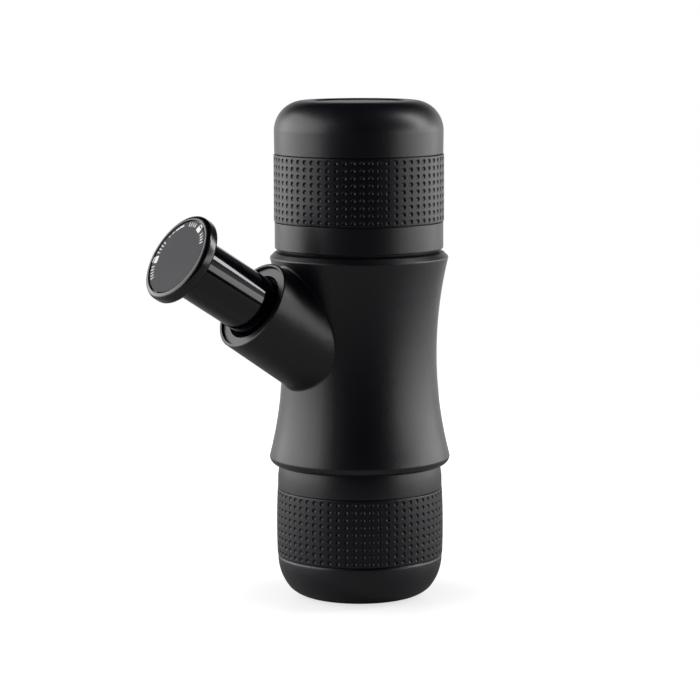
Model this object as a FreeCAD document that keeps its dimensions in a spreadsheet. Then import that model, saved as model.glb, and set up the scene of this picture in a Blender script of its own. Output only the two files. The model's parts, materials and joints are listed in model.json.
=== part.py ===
import FreeCAD, Part

import math
import os

import Sketcher

# Handheld manual espresso maker, in millimetres.
# It stands on the foot of its cup. Z is up through the middle of the cup, the body and the water tank.
# The pump barrel leans out of the body towards -X, in the XZ plane.

# Driving sizes
# Heights are above the table. Names that start with pump, liner, bush, lock, plunger, sleeve, knob,
# label and mouth use stations along the pump axis, counted from where that axis crosses Z.
SIZES = {
    # shared clearances
    "press_gap": 0.05,
    "running_gap": 0.08,
    "free_gap": 0.3,
    # the pump axis and the upright valve axis
    "pump_axis_height": 80.5,
    "pump_rise_angle": 32,
    "valve_offset": 11.5,
    # main housing
    "skirt_bottom": 48.3,
    "skirt_lip_inset": 2.72,
    "skirt_lip_round": 3.1,
    "skirt_edge_rise": 3.0,
    "waist_height": 88.5,
    "waist_radius": 28.0,
    "waist_curve": 148,
    "crease_height": 123.8,
    "lip_height": 125.6,
    "lip_radius": 30.5,
    "housing_wall": 2.4,
    "lip_bore": 27.4,
    "upper_ledge_top": 115,
    "upper_ledge_depth": 3,
    "upper_ledge_bore": 25.6,
    "lower_ledge_bottom": 64,
    "lower_ledge_depth": 3,
    "lower_ledge_bore": 25.8,
    "frame_bore": 27.5,
    "skirt_socket_depth": 8.7,
    "skirt_bore": 29.45,
    "boss_start": 8,
    "mouth_station": 54,
    "mouth_radius": 16.7,
    "mouth_edge": 0.3,
    "boss_taper": 0.029,
    "boss_fillet": 1.0,
    "barrel_wall_bore": 14.0,
    "mouth_recess_radius": 15.6,
    "mouth_recess_depth": 3,
    # barrel liner, bush and lock ring
    "liner_bore": 12.2,
    "liner_wall": 1.5,
    "liner_start": 11,
    "liner_flange": 2,
    "bush_start": 38.3,
    "bush_length": 8,
    "lock_ring_length": 2.7,
    "lug_reach": 1.2,
    "lug_length": 2,
    "lug_sweep": 32,
    "notch_sweep": 42,
    # sleeve, knob and label
    "sleeve_radius": 10.9,
    "sleeve_wall": 1.5,
    "sleeve_start": 36,
    "knob_rear": 85.15,
    "knob_thickness": 4.8,
    "knob_radius": 16.5,
    "knob_edge": 0.5,
    "knob_spigot_length": 7.15,
    "label_radius": 14.1,
    "label_thickness": 0.95,
    "label_pocket_depth": 1.2,
    "screw_head_radius": 3.6,
    "screw_head_height": 1.7,
    "screw_shoulder_radius": 2.2,
    "screw_thread_radius": 1.8,
    "screw_thread_length": 11.7,
    "screw_drive_radius": 1.3,
    "screw_drive_depth": 1.1,
    # pump cylinder and plunger
    "cylinder_bore": 5.0,
    "cylinder_radius": 6.5,
    "cylinder_length": 37,
    "cylinder_floor": 0.2,
    "cylinder_flange_radius": 9,
    "cylinder_flange": 2.5,
    "spigot_radius": 6,
    "spigot_length": 3,
    "port_radius": 1.5,
    "plunger_start": 30.5,
    "plunger_head_length": 5,
    "plunger_head_gap": 0.1,
    "plunger_rod_radius": 3.6,
    "plunger_collar_start": 68,
    "plunger_collar": 2,
    "plunger_tail_radius": 5,
    "seal_groove_start": 0.9,
    "seal_groove_pitch": 2,
    "seal_groove_width": 1.2,
    "seal_groove_depth": 0.8,
    # return spring
    "spring_radius": 7.8,
    "spring_wire": 1.1,
    "spring_turns": 14,
    # valve block
    "block_radius": 6.5,
    "block_top": 100,
    "block_boss_length": 14,
    "foot_width": 8.4,
    "foot_length": 26,
    "foot_thickness": 3,
    "valve_bore": 3.2,
    "valve_throat": 1.8,
    "throat_bottom": 72,
    "throat_top": 80.5,
    "seat_hole": 1.2,
    "seat_thickness": 3,
    "seat_funnel": 0.8,
    "inlet_seat_bottom": 90,
    "outlet_seat_bottom": 69,
    "ball_radius": 1.9,
    "ball_gap": 0.03,
    "valve_spring_radius": 1.5,
    "valve_spring_wire": 0.4,
    "valve_spring_turns": 5,
    "valve_spring_gap": 0.1,
    "block_screw_spread": 9.4,
    "block_screw_radius": 1.4,
    "block_screw_depth": 7,
    "block_screw_head_radius": 2.6,
    "block_screw_head_height": 1.6,
    # inlet tube, strainer and vent
    "tube_radius": 3.05,
    "tube_bore": 1.8,
    "tube_rise": 1.4,
    "strainer_radius": 6,
    "strainer_height": 4,
    "strainer_wall": 0.8,
    "strainer_slots": 8,
    "strainer_slot_width": 0.8,
    "strainer_slot_height": 1.5,
    "vent_offset": 14,
    "vent_stem_radius": 2.0,
    "vent_cap_radius": 3.4,
    "vent_cap_height": 0.8,
    "vent_nose": 1.4,
    # upper frame with the tank neck
    "tank_floor": 3,
    "neck_flange_radius": 27.1,
    "neck_radius": 25.6,
    "neck_bore": 23.6,
    "neck_top": 137,
    "neck_edge": 0.6,
    "thread_pitch": 4,
    "thread_turns": 1.25,
    "thread_base": 1.6,
    "thread_crest": 0.8,
    "thread_root_overlap": 0.1,
    "neck_thread_height": 0.8,
    "neck_thread_start": 129,
    # long screws between the two frames
    "chassis_circle": 23.6,
    "chassis_front_angle": 50,
    "chassis_rear_angle": 105,
    "chassis_screw_radius": 1.0,
    "chassis_head_radius": 1.9,
    "chassis_head_height": 1.5,
    "chassis_boss_radius": 1.9,
    "chassis_boss_length": 7,
    "chassis_thread_depth": 8,
    # water tank
    "tank_bottom": 126.8,
    "tank_top": 180,
    "tank_radius": 30.5,
    "tank_ring_radius": 30.4,
    "tank_ring_top": 136.5,
    "tank_ring_edge": 0.3,
    "tank_corner": 10.9,
    "tank_wall": 2.5,
    "tank_bore": 26.8,
    "tank_bore_top": 140.3,
    "tank_dish_radius": 16.5,
    "tank_dish_depth": 0.5,
    "tank_thread_height": 0.7,
    "tank_thread_start": 127,
    "tank_shoulder": 19,
    "gasket_radius": 28.4,
    # grip bands
    "band_seat_radius": 29.25,
    "band_radius": 30.65,
    "band_edge": 0.25,
    "band_end_gap": 0.2,
    # brew head
    "plate_radius": 27.2,
    "plate_thickness": 4,
    "collar_radius": 21.4,
    "collar_bore": 19.6,
    "collar_bottom": 49.4,
    "core_bottom": 52.6,
    "collar_thread_height": 0.8,
    "collar_thread_start": 51,
    "outlet_socket_bottom": 58,
    "port_seal_radius": 3.9,
    "port_seal_width": 1.2,
    "port_seal_depth": 1,
    # shower screen
    "screen_radius": 19.2,
    "screen_sheet": 0.8,
    "screen_hole": 0.5,
    "screen_ring": 4.5,
    "shower_screw_radius": 1.4,
    "shower_screw_length": 9,
    "shower_head_radius": 3,
    "shower_head_height": 1.4,
    # basket and its gasket
    "basket_radius": 19.6,
    "basket_wall": 0.7,
    "basket_flange_radius": 21.2,
    "basket_flange": 1.2,
    "basket_rest": 46,
    "basket_bottom": 31,
    "basket_hole": 0.45,
    "basket_ring": 3.8,
    "brew_gasket_radius": 21.2,
    "brew_gasket_width": 1.4,
    # outlet head
    "head_radius": 24.9,
    "head_top": 59,
    "head_bore": 22.6,
    "head_pocket_gap": 0.4,
    "head_floor": 30.2,
    "head_funnel_bottom": 27.6,
    "head_under": 26.2,
    "head_corner": 6.9,
    "head_thread_height": 0.8,
    "head_thread_start": 49,
    "spout_tip": 21,
    "spout_bore": 2.0,
    "spout_radius": 3.6,
    "spout_root_radius": 5.2,
    "spout_root": 25.4,
    "flute_radius": 1.5,
    "flute_circle": 25.6,
    "flute_count": 12,
    "flute_bottom": 34,
    "flute_top": 58,
    # cup
    "cup_foot_radius": 18,
    "cup_heel_radius": 25.8,
    "cup_heel_height": 3.2,
    "cup_foot_round": 11,
    "cup_bowl_round": 18,
    "cup_band_bottom": 15.1,
    "cup_band_low_radius": 29.9,
    "cup_band_drop": 4.3,
    "cup_band_high_radius": 29.85,
    "cup_seat_radius": 28.6,
    "cup_shoulder_radius": 29.8,
    "cup_shoulder_drop": 3.6,
    "cup_throat_radius": 29.35,
    "cup_throat_drop": 0.7,
    "cup_rim_radius": 29.1,
    "cup_rim_rise": 0.7,
    "cup_rim_gap": 1,
    "cup_rim_edge": 0.4,
    "cup_bore": 26.7,
    "cup_inner_round": 17,
    "cup_inner_heel_radius": 23.9,
    "cup_inner_heel_height": 5.2,
    "cup_inner_foot_radius": 18.5,
    "cup_inner_foot_round": 9,
    "cup_floor": 2.4,
    "cup_band_swell": 260,
    "cup_band_thickness": 1.25,
    "cup_seal_drop": 4.4,
    "cup_seal_height": 1.8,
    "cup_seal_depth": 0.6,
    "cup_seal_reach": 0.25,
}


class Size:
    """A length with its number and the sheet expression that drives it."""

    def __init__(self, text, number):
        self.text = text
        self.number = number

    def __add__(self, other):
        return join(self, "+", other, self.number + plain(other))

    def __radd__(self, other):
        return join(other, "+", self, plain(other) + self.number)

    def __sub__(self, other):
        return join(self, "-", other, self.number - plain(other))

    def __rsub__(self, other):
        return join(other, "-", self, plain(other) - self.number)

    def __mul__(self, other):
        return join(self, "*", other, self.number * plain(other))

    def __rmul__(self, other):
        return join(other, "*", self, plain(other) * self.number)

    def __truediv__(self, other):
        return join(self, "/", other, self.number / plain(other))


def plain(value):
    return value.number if isinstance(value, Size) else value


def written(value):
    return value.text if isinstance(value, Size) else repr(value)


def join(left, sign, right, number):
    return Size(f"({written(left)} {sign} {written(right)})", number)


def root_of(value):
    return Size(f"sqrt({value.text})", math.sqrt(value.number))


def cosine(angle):
    return Size(f"cos({angle.text} * 1 deg)", math.cos(math.radians(angle.number)))


def sine(angle):
    return Size(f"sin({angle.text} * 1 deg)", math.sin(math.radians(angle.number)))


class SizeSheet:
    """The document's spreadsheet, read by the names of its cells."""

    def __init__(self, document, sizes):
        self.cells = document.addObject("Spreadsheet::Sheet", "Sizes")
        for row, (name, value) in enumerate(sizes.items(), start=1):
            self.cells.set(f"A{row}", name)
            self.cells.set(f"B{row}", str(value))
            self.cells.setAlias(f"B{row}", name)
        document.recompute()

    def __getattr__(self, name):
        return Size(f"Sizes.{name}", float(self.cells.get(name)))


doc = FreeCAD.newDocument("espresso_maker")
size = SizeSheet(doc, SIZES)
sub_parts = []


# Helpers that draw on the origin planes and turn drawings into solids

LEFT = 1
RIGHT = -1


class Axis:
    """Where a drawing's own upright axis lies in the XZ plane."""

    def __init__(self, across=None, height=None, lean=None):
        self.across = across
        self.height = height
        self.lean = lean


MIDDLE = Axis()
PUMP = Axis(height=size.pump_axis_height, lean=90 - size.pump_rise_angle)
VALVE = Axis(across=size.valve_offset)
VENT = Axis(across=0 - size.vent_offset)


def new_body(label, groups=False):
    body = doc.addObject("PartDesign::Body", label)
    body.Label = label
    body.AllowCompound = groups
    sub_parts.append(body)
    return body


def set_size(thing, path, value):
    if isinstance(value, Size):
        thing.setExpression(path, value.text)


def origin_plane(body, role):
    return [item for item in body.Origin.OriginFeatures if item.Role == role][0]


def new_sketch(body, name, role, axis=MIDDLE, level=None):
    """A sketch on an origin plane, moved to an axis, and to a level above an XY plane."""
    sketch = body.newObject("Sketcher::SketchObject", f"{body.Name}_{name}_outline")
    sketch.AttachmentSupport = [(origin_plane(body, role), "")]
    sketch.MapMode = "FlatFace"
    upright = FreeCAD.Vector(0, 0, 1)
    lean = plain(axis.lean) if axis.lean else 0
    sketch.AttachmentOffset = FreeCAD.Placement(FreeCAD.Vector(), FreeCAD.Rotation(upright, lean))
    if axis.lean:
        set_size(sketch, "AttachmentOffset.Rotation.Angle", axis.lean)
    if axis.across:
        set_size(sketch, "AttachmentOffset.Base.x", axis.across)
    if axis.height:
        set_size(sketch, "AttachmentOffset.Base.y", axis.height)
    if level is not None:
        set_size(sketch, "AttachmentOffset.Base.z", level)
    return sketch


def spot(point):
    return FreeCAD.Vector(plain(point[0]), plain(point[1]), 0)


def hold(sketch, kind, places, value):
    """One driving constraint, bound to its size."""
    index = sketch.addConstraint(Sketcher.Constraint(kind, *places, plain(value)))
    if isinstance(value, Size):
        sketch.setExpression(f"Constraints[{index}]", value.text)


def pin_point(sketch, edge, end, point):
    hold(sketch, "DistanceX", (-1, 1, edge, end), point[0])
    hold(sketch, "DistanceY", (-1, 1, edge, end), point[1])


def add_arc(sketch, start, end, turn, radius):
    """An arc under a half circle from start to end; LEFT bends it anticlockwise."""
    run = end - start
    middle = (start + end) * 0.5
    rise = math.sqrt(max(plain(radius) ** 2 - run.Length ** 2 / 4, 0))
    side = FreeCAD.Vector(-run.y, run.x, 0).normalize() * (rise * turn)
    centre = middle + side
    first, last = (start, end) if turn == LEFT else (end, start)
    opening = math.atan2(first.y - centre.y, first.x - centre.x)
    closing = math.atan2(last.y - centre.y, last.x - centre.x)
    if closing < opening:
        closing += 2 * math.pi
    circle = Part.Circle(centre, FreeCAD.Vector(0, 0, 1), plain(radius))
    edge = sketch.addGeometry(Part.ArcOfCircle(circle, opening, closing), False)
    hold(sketch, "Radius", (edge,), radius)
    return (edge, 1, 2) if turn == LEFT else (edge, 2, 1)


def draw(sketch, points):
    """A closed outline. A point is (across, up), or (across, up, turn, radius) at the end of an arc."""
    edges = []
    for index, point in enumerate(points):
        start = spot(points[index - 1])
        end = spot(point)
        if len(point) > 2:
            edges.append(add_arc(sketch, start, end, point[2], point[3]))
        else:
            line = sketch.addGeometry(Part.LineSegment(start, end), False)
            edges.append((line, 1, 2))
    for index, point in enumerate(points):
        edge, first, last = edges[index]
        following = edges[(index + 1) % len(edges)]
        pin_point(sketch, edge, last, point)
        sketch.addConstraint(Sketcher.Constraint("Coincident", following[0], following[1], edge, last))


def ring(inner, outer, bottom, top):
    """The rectangle that makes a plain ring."""
    return [(inner, bottom), (outer, bottom), (outer, top), (inner, top)]


def turn_solid(body, name, outlines, axis=MIDDLE, cut=False, sweep=None):
    """Turn outlines about an axis, to add to a body or to cut it."""
    sketch = new_sketch(body, name, "XZ_Plane", axis)
    for points in outlines:
        draw(sketch, points)
    kind = "PartDesign::Groove" if cut else "PartDesign::Revolution"
    feature = body.newObject(kind, f"{body.Name}_{name}")
    feature.Profile = sketch
    feature.ReferenceAxis = (sketch, ["V_Axis"])
    feature.Angle = 360
    if sweep is not None:
        feature.Midplane = True
        set_size(feature, "Angle", sweep)
    sketch.Visibility = False
    return feature


def push_solid(body, name, level, length, cut, fill, axis=MIDDLE):
    """Push a drawing up from its level, or cut down from it."""
    sketch = new_sketch(body, name, "XY_Plane", axis, level)
    fill(sketch)
    kind = "PartDesign::Pocket" if cut else "PartDesign::Pad"
    feature = body.newObject(kind, f"{body.Name}_{name}")
    feature.Profile = sketch
    feature.Length = plain(length)
    set_size(feature, "Length", length)
    sketch.Visibility = False
    return feature


def discs(body, name, centres, radius, bottom, top, cut=False, axis=MIDDLE):
    """Upright round pegs, or holes, between two levels."""

    def fill(sketch):
        for centre in centres:
            circle = Part.Circle(spot(centre), FreeCAD.Vector(0, 0, 1), plain(radius))
            edge = sketch.addGeometry(circle, False)
            pin_point(sketch, edge, 3, centre)
            hold(sketch, "Radius", (edge,), radius)

    return push_solid(body, name, top if cut else bottom, top - bottom, cut, fill, axis)


def repeat_round(body, feature, count, around="N_Axis"):
    """Copies of a feature, evenly spaced about its own sketch's axis."""
    pattern = body.newObject("PartDesign::PolarPattern", f"{feature.Name}_pattern")
    pattern.Originals = [feature]
    pattern.Axis = (feature.Profile[0], [around])
    pattern.Angle = 360
    pattern.Occurrences = int(plain(count))
    set_size(pattern, "Occurrences", count)
    body.Tip = pattern
    return pattern


def hole_rings(body, radius, spacing, rings, level, depth):
    """Rings of small round holes, each ring with six more holes than the last."""
    for ring_number in range(1, rings + 1):
        centre = (spacing * ring_number, 0)
        name = f"holes_{ring_number}"
        holes = discs(body, name, [centre], radius, level - depth, level, cut=True)
        repeat_round(body, holes, 6 * ring_number)


def thread(body, name, wall, height, start):
    """A thread ridge that stands out of a wall (or into a bore, where height is negative)."""
    inside = wall - size.thread_root_overlap if plain(height) > 0 else wall + size.thread_root_overlap
    crest = wall + height
    margin = (size.thread_base - size.thread_crest) / 2
    sketch = new_sketch(body, name, "XZ_Plane")
    draw(sketch, [
        (inside, start),
        (crest, start + margin),
        (crest, start + margin + size.thread_crest),
        (inside, start + size.thread_base),
    ])
    return wind(body, name, sketch, size.thread_pitch * size.thread_turns, size.thread_turns)


def wind(body, name, sketch, height, turns):
    """Sweep a drawing up a right-handed helix."""
    helix = body.newObject("PartDesign::AdditiveHelix", f"{body.Name}_{name}")
    helix.Profile = sketch
    helix.ReferenceAxis = (sketch, ["V_Axis"])
    helix.Mode = "height-turns-angle"
    helix.Height = plain(height)
    helix.Turns = plain(turns)
    set_size(helix, "Height", height)
    set_size(helix, "Turns", turns)
    sketch.Visibility = False
    return helix


def coil(label, radius, wire, turns, bottom, top, axis):
    """An open coil spring of round wire between two seats."""
    body = new_body(label)
    sketch = new_sketch(body, "wire", "XZ_Plane", axis)
    centre = (radius, bottom + wire / 2)
    edge = sketch.addGeometry(Part.Circle(spot(centre), FreeCAD.Vector(0, 0, 1), plain(wire) / 2), False)
    pin_point(sketch, edge, 3, centre)
    hold(sketch, "Radius", (edge,), wire / 2)
    wind(body, "turns", sketch, top - bottom - wire, turns)
    return body


# Places that more than one piece uses

def waist_at(height, inset):
    """Radius of the housing's waist curve at a height, inset by a wall."""
    rise = height - size.waist_height
    curve = size.waist_curve + inset
    return size.waist_radius + size.waist_curve - root_of(curve * curve - rise * rise)


skirt_edge_height = size.skirt_bottom + size.skirt_edge_rise
skirt_step = size.skirt_bottom + size.skirt_socket_depth
cup_rim_top = skirt_step - size.cup_rim_gap
cup_seal_bottom = cup_rim_top - size.cup_seal_drop
cup_rim_step = size.skirt_bottom + size.cup_rim_rise
cup_throat_height = size.skirt_bottom - size.cup_throat_drop
cup_shoulder_height = cup_throat_height - size.cup_shoulder_drop
cup_band_top = cup_shoulder_height - size.cup_band_drop
tank_band_top = size.tank_top - size.tank_shoulder
plate_bottom = size.lower_ledge_bottom - size.plate_thickness
floor_top = size.upper_ledge_top + size.tank_floor
liner_end = size.mouth_station - size.mouth_recess_depth
liner_radius = size.liner_bore + size.liner_wall
lock_start = size.liner_start - size.lock_ring_length
sleeve_bore = size.sleeve_radius - size.sleeve_wall
lug_radius = size.sleeve_radius + size.lug_reach
knob_face = size.knob_rear + size.knob_thickness
label_seat = knob_face - size.label_pocket_depth
spigot_start = size.knob_rear - size.knob_spigot_length
plunger_end = spigot_start - size.free_gap
screw_head_seat = label_seat - size.press_gap - size.screw_head_height
channel_end = 0 - size.valve_offset / cosine(size.pump_rise_angle)
band_bore = size.band_seat_radius + size.press_gap
tank_band_bottom = size.tank_ring_top + size.band_end_gap
tank_band_end = tank_band_top - size.band_end_gap
ball_drop = root_of(size.ball_radius * size.ball_radius - size.seat_hole * size.seat_hole)
ball_slope = root_of(
    size.ball_radius * size.ball_radius - size.valve_spring_radius * size.valve_spring_radius
)
tube_bottom = size.inlet_seat_bottom + size.seat_thickness + size.press_gap


def on_circle(angle, side):
    across = size.chassis_circle * cosine(angle)
    along = side * size.chassis_circle * sine(angle)
    return (across, along)


chassis_spots = [
    on_circle(angle, side)
    for angle in (size.chassis_front_angle, size.chassis_rear_angle)
    for side in (LEFT, RIGHT)
]
block_screw_spots = [(size.valve_offset, side * size.block_screw_spread) for side in (LEFT, RIGHT)]


# Water tank, its grip band and its gasket

def make_water_tank():
    body = new_body("water_tank")
    inner_side = size.tank_radius - size.tank_wall
    inner_top = size.tank_top - size.tank_wall
    corner_start = size.tank_top - size.tank_corner
    corner_end = size.tank_radius - size.tank_corner
    dish_floor = size.tank_top - size.tank_dish_depth
    bore_step = inner_side - size.tank_bore
    turn_solid(body, "shell", [[
        (size.tank_bore, size.tank_bottom),
        (size.tank_ring_radius - size.tank_ring_edge, size.tank_bottom),
        (size.tank_ring_radius, size.tank_bottom + size.tank_ring_edge),
        (size.tank_ring_radius, size.tank_ring_top),
        (size.band_seat_radius, size.tank_ring_top),
        (size.band_seat_radius, tank_band_top),
        (size.tank_ring_radius, tank_band_top),
        (size.tank_radius, corner_start),
        (corner_end, size.tank_top, LEFT, size.tank_corner),
        (size.tank_dish_radius, size.tank_top),
        (size.tank_dish_radius - size.tank_dish_depth, dish_floor),
        (0, dish_floor),
        (0, inner_top),
        (corner_end, inner_top),
        (inner_side, corner_start, RIGHT, size.tank_corner - size.tank_wall),
        (inner_side, size.tank_bore_top + bore_step),
        (size.tank_bore, size.tank_bore_top),
    ]])
    thread(body, "thread", size.tank_bore, 0 - size.tank_thread_height, size.tank_thread_start)


def make_tank_grip_band():
    body = new_body("tank_grip_band")
    turn_solid(body, "sleeve", [[
        (band_bore, tank_band_bottom),
        (size.band_radius - size.band_edge, tank_band_bottom),
        (size.band_radius, tank_band_bottom + size.band_edge),
        (size.band_radius, tank_band_end - size.band_edge),
        (size.band_radius - size.band_edge, tank_band_end),
        (band_bore, tank_band_end),
    ]])


def make_tank_gasket():
    body = new_body("tank_gasket")
    turn_solid(body, "ring", [
        ring(size.tank_bore, size.gasket_radius, size.lip_height, size.tank_bottom),
    ])


# Main housing: the waisted shell with the pump boss

def boss_edges(shape):
    """The edges where the cone of the boss meets the waist."""
    names = []
    for index, edge in enumerate(shape.Edges, start=1):
        faces = shape.ancestorsOfType(edge, Part.Face)
        kinds = {type(face.Surface).__name__ for face in faces}
        if kinds == {"Cone", "Toroid"} and type(edge.Curve).__name__ == "BSplineCurve":
            names.append(f"Edge{index}")
    return names


def make_main_housing():
    body = new_body("main_housing")
    skirt_edge = waist_at(skirt_edge_height, 0)
    crease = waist_at(size.crease_height, 0)
    turn_solid(body, "waist", [[
        (0, size.skirt_bottom),
        (skirt_edge - size.skirt_lip_inset, size.skirt_bottom),
        (skirt_edge, skirt_edge_height, LEFT, size.skirt_lip_round),
        (crease, size.crease_height, RIGHT, size.waist_curve),
        (size.lip_radius, size.lip_height),
        (0, size.lip_height),
    ]])
    boss_root = size.mouth_radius + (size.mouth_station - size.boss_start) * size.boss_taper
    edge_radius = size.mouth_radius + size.mouth_edge * size.boss_taper
    boss = turn_solid(body, "boss", [[
        (0, size.boss_start),
        (boss_root, size.boss_start),
        (edge_radius, size.mouth_station - size.mouth_edge),
        (size.mouth_radius - size.mouth_edge, size.mouth_station),
        (0, size.mouth_station),
    ]], PUMP)
    doc.recompute()
    fillet = body.newObject("PartDesign::Fillet", "main_housing_boss_fillet")
    fillet.Base = (boss, boss_edges(boss.Shape))
    fillet.Radius = plain(size.boss_fillet)
    set_size(fillet, "Radius", size.boss_fillet)
    ledge_bottom = size.upper_ledge_top - size.upper_ledge_depth
    lower_top = size.lower_ledge_bottom + size.lower_ledge_depth
    inner_curve = size.waist_curve + size.housing_wall
    turn_solid(body, "cavity", [[
        (0, size.tank_bottom),
        (size.lip_bore, size.tank_bottom),
        (size.lip_bore, size.upper_ledge_top),
        (size.upper_ledge_bore, size.upper_ledge_top),
        (size.upper_ledge_bore, ledge_bottom),
        (waist_at(ledge_bottom, size.housing_wall), ledge_bottom),
        (waist_at(lower_top, size.housing_wall), lower_top, LEFT, inner_curve),
        (size.lower_ledge_bore, lower_top),
        (size.lower_ledge_bore, size.lower_ledge_bottom),
        (size.frame_bore, size.lower_ledge_bottom),
        (size.frame_bore, skirt_step),
        (size.skirt_bore, skirt_step),
        (size.skirt_bore, cup_shoulder_height),
        (0, cup_shoulder_height),
    ]], cut=True)
    turn_solid(body, "barrel_bore", [[
        (0, size.boss_start - size.free_gap),
        (size.barrel_wall_bore, size.boss_start - size.free_gap),
        (size.barrel_wall_bore, liner_end),
        (size.mouth_recess_radius, liner_end),
        (size.mouth_recess_radius, size.mouth_station + size.free_gap),
        (0, size.mouth_station + size.free_gap),
    ]], PUMP, cut=True)


# Barrel: liner, guide bush and bayonet ring

def make_barrel_liner():
    body = new_body("barrel_liner")
    flange_radius = size.mouth_recess_radius - size.running_gap
    flange_end = liner_end + size.liner_flange
    edge = size.mouth_edge
    turn_solid(body, "tube", [[
        (size.liner_bore, size.liner_start),
        (liner_radius, size.liner_start),
        (liner_radius, liner_end),
        (flange_radius, liner_end),
        (flange_radius, flange_end),
        (size.liner_bore + edge, flange_end),
        (size.liner_bore, flange_end - edge),
    ]], PUMP)


def make_guide_bush():
    body = new_body("guide_bush")
    inner = size.sleeve_radius + size.running_gap
    outer = size.liner_bore - size.running_gap
    turn_solid(body, "ring", [
        ring(inner, outer, size.bush_start, size.bush_start + size.bush_length),
    ], PUMP)


def make_lock_ring():
    body = new_body("lock_ring")
    inner = size.sleeve_radius + size.free_gap
    turn_solid(body, "ring", [ring(inner, liner_radius, lock_start, size.liner_start)], PUMP)
    start = lock_start - size.free_gap
    end = size.liner_start + size.free_gap
    notch = turn_solid(
        body, "notch", [ring(size.sleeve_radius, size.liner_bore, start, end)], PUMP,
        cut=True, sweep=size.notch_sweep,
    )
    repeat_round(body, notch, 2, "V_Axis")


# Piston: sleeve, knob, label disc and screw

def make_piston_sleeve():
    body = new_body("piston_sleeve")
    turn_solid(body, "tube", [
        ring(sleeve_bore, size.sleeve_radius, size.sleeve_start, size.knob_rear),
    ], PUMP)
    lug_root = size.sleeve_radius - size.thread_root_overlap
    lug = turn_solid(
        body, "lug", [ring(lug_root, lug_radius, size.sleeve_start, size.sleeve_start + size.lug_length)],
        PUMP, sweep=size.lug_sweep,
    )
    repeat_round(body, lug, 2, "V_Axis")


def make_piston_knob():
    body = new_body("piston_knob")
    bore = size.screw_shoulder_radius + size.running_gap
    head_room = size.screw_head_radius + size.free_gap
    pocket = size.label_radius + size.running_gap
    turn_solid(body, "disc", [[
        (bore, spigot_start),
        (sleeve_bore - size.running_gap, spigot_start),
        (sleeve_bore - size.running_gap, size.knob_rear),
        (size.knob_radius - size.knob_edge, size.knob_rear),
        (size.knob_radius, size.knob_rear + size.knob_edge),
        (size.knob_radius, knob_face - size.knob_edge),
        (size.knob_radius - size.knob_edge, knob_face),
        (pocket, knob_face),
        (pocket, label_seat),
        (head_room, label_seat),
        (head_room, screw_head_seat - size.running_gap),
        (bore, screw_head_seat - size.running_gap),
    ]], PUMP)


def make_knob_label_disc():
    body = new_body("knob_label_disc")
    turn_solid(body, "disc", [
        ring(0, size.label_radius, label_seat, label_seat + size.label_thickness),
    ], PUMP)


def make_knob_screw():
    body = new_body("knob_screw")
    head_end = screw_head_seat + size.screw_head_height
    thread_start = plunger_end - size.screw_thread_length
    turn_solid(body, "screw", [[
        (0, thread_start),
        (size.screw_thread_radius, thread_start),
        (size.screw_thread_radius, plunger_end),
        (size.screw_shoulder_radius, plunger_end),
        (size.screw_shoulder_radius, screw_head_seat),
        (size.screw_head_radius, screw_head_seat),
        (size.screw_head_radius, head_end),
        (size.screw_drive_radius, head_end),
        (size.screw_drive_radius, head_end - size.screw_drive_depth),
        (0, head_end - size.screw_drive_depth),
    ]], PUMP)


# Pump: cylinder, plunger, seals and return spring

def make_pump_cylinder():
    body = new_body("pump_cylinder")
    spigot_end = 0 - size.spigot_length
    turn_solid(body, "barrel", [[
        (size.port_radius, spigot_end),
        (size.spigot_radius, spigot_end),
        (size.spigot_radius, 0),
        (size.cylinder_flange_radius, 0),
        (size.cylinder_flange_radius, size.cylinder_flange),
        (size.cylinder_radius, size.cylinder_flange),
        (size.cylinder_radius, size.cylinder_length),
        (size.cylinder_bore, size.cylinder_length),
        (size.cylinder_bore, size.cylinder_floor),
        (size.port_radius, size.cylinder_floor),
    ]], PUMP)


def seal_grooves():
    """Where each of the plunger's two seal grooves starts."""
    first = size.plunger_start + size.seal_groove_start
    return [first, first + size.seal_groove_pitch]


def make_plunger():
    body = new_body("plunger")
    head_radius = size.cylinder_bore - size.plunger_head_gap
    head_end = size.plunger_start + size.plunger_head_length
    collar_end = size.plunger_collar_start + size.plunger_collar
    collar_radius = sleeve_bore - size.free_gap
    socket = size.screw_thread_radius + size.press_gap
    socket_end = plunger_end - size.screw_thread_length - size.free_gap
    turn_solid(body, "rod", [[
        (0, size.plunger_start),
        (head_radius, size.plunger_start),
        (head_radius, head_end),
        (size.plunger_rod_radius, head_end + size.seal_groove_depth),
        (size.plunger_rod_radius, size.plunger_collar_start),
        (collar_radius, size.plunger_collar_start),
        (collar_radius, collar_end),
        (size.plunger_tail_radius, collar_end),
        (size.plunger_tail_radius, plunger_end),
        (socket, plunger_end),
        (socket, socket_end),
        (0, socket_end),
    ]], PUMP)
    floor = head_radius - size.seal_groove_depth
    turn_solid(body, "grooves", [
        ring(floor, head_radius + size.free_gap, start, start + size.seal_groove_width)
        for start in seal_grooves()
    ], PUMP, cut=True)


def make_plunger_seals():
    body = new_body("plunger_seals", groups=True)
    inner = size.cylinder_bore - size.plunger_head_gap - size.seal_groove_depth + size.press_gap
    outer = size.cylinder_bore - size.press_gap
    turn_solid(body, "rings", [
        ring(inner, outer, start + size.press_gap, start + size.seal_groove_width - size.press_gap)
        for start in seal_grooves()
    ], PUMP)


def make_return_spring():
    coil(
        "return_spring", size.spring_radius, size.spring_wire, size.spring_turns,
        size.cylinder_flange, size.plunger_collar_start, PUMP,
    )


# Valve block and the two ball valves

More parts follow.
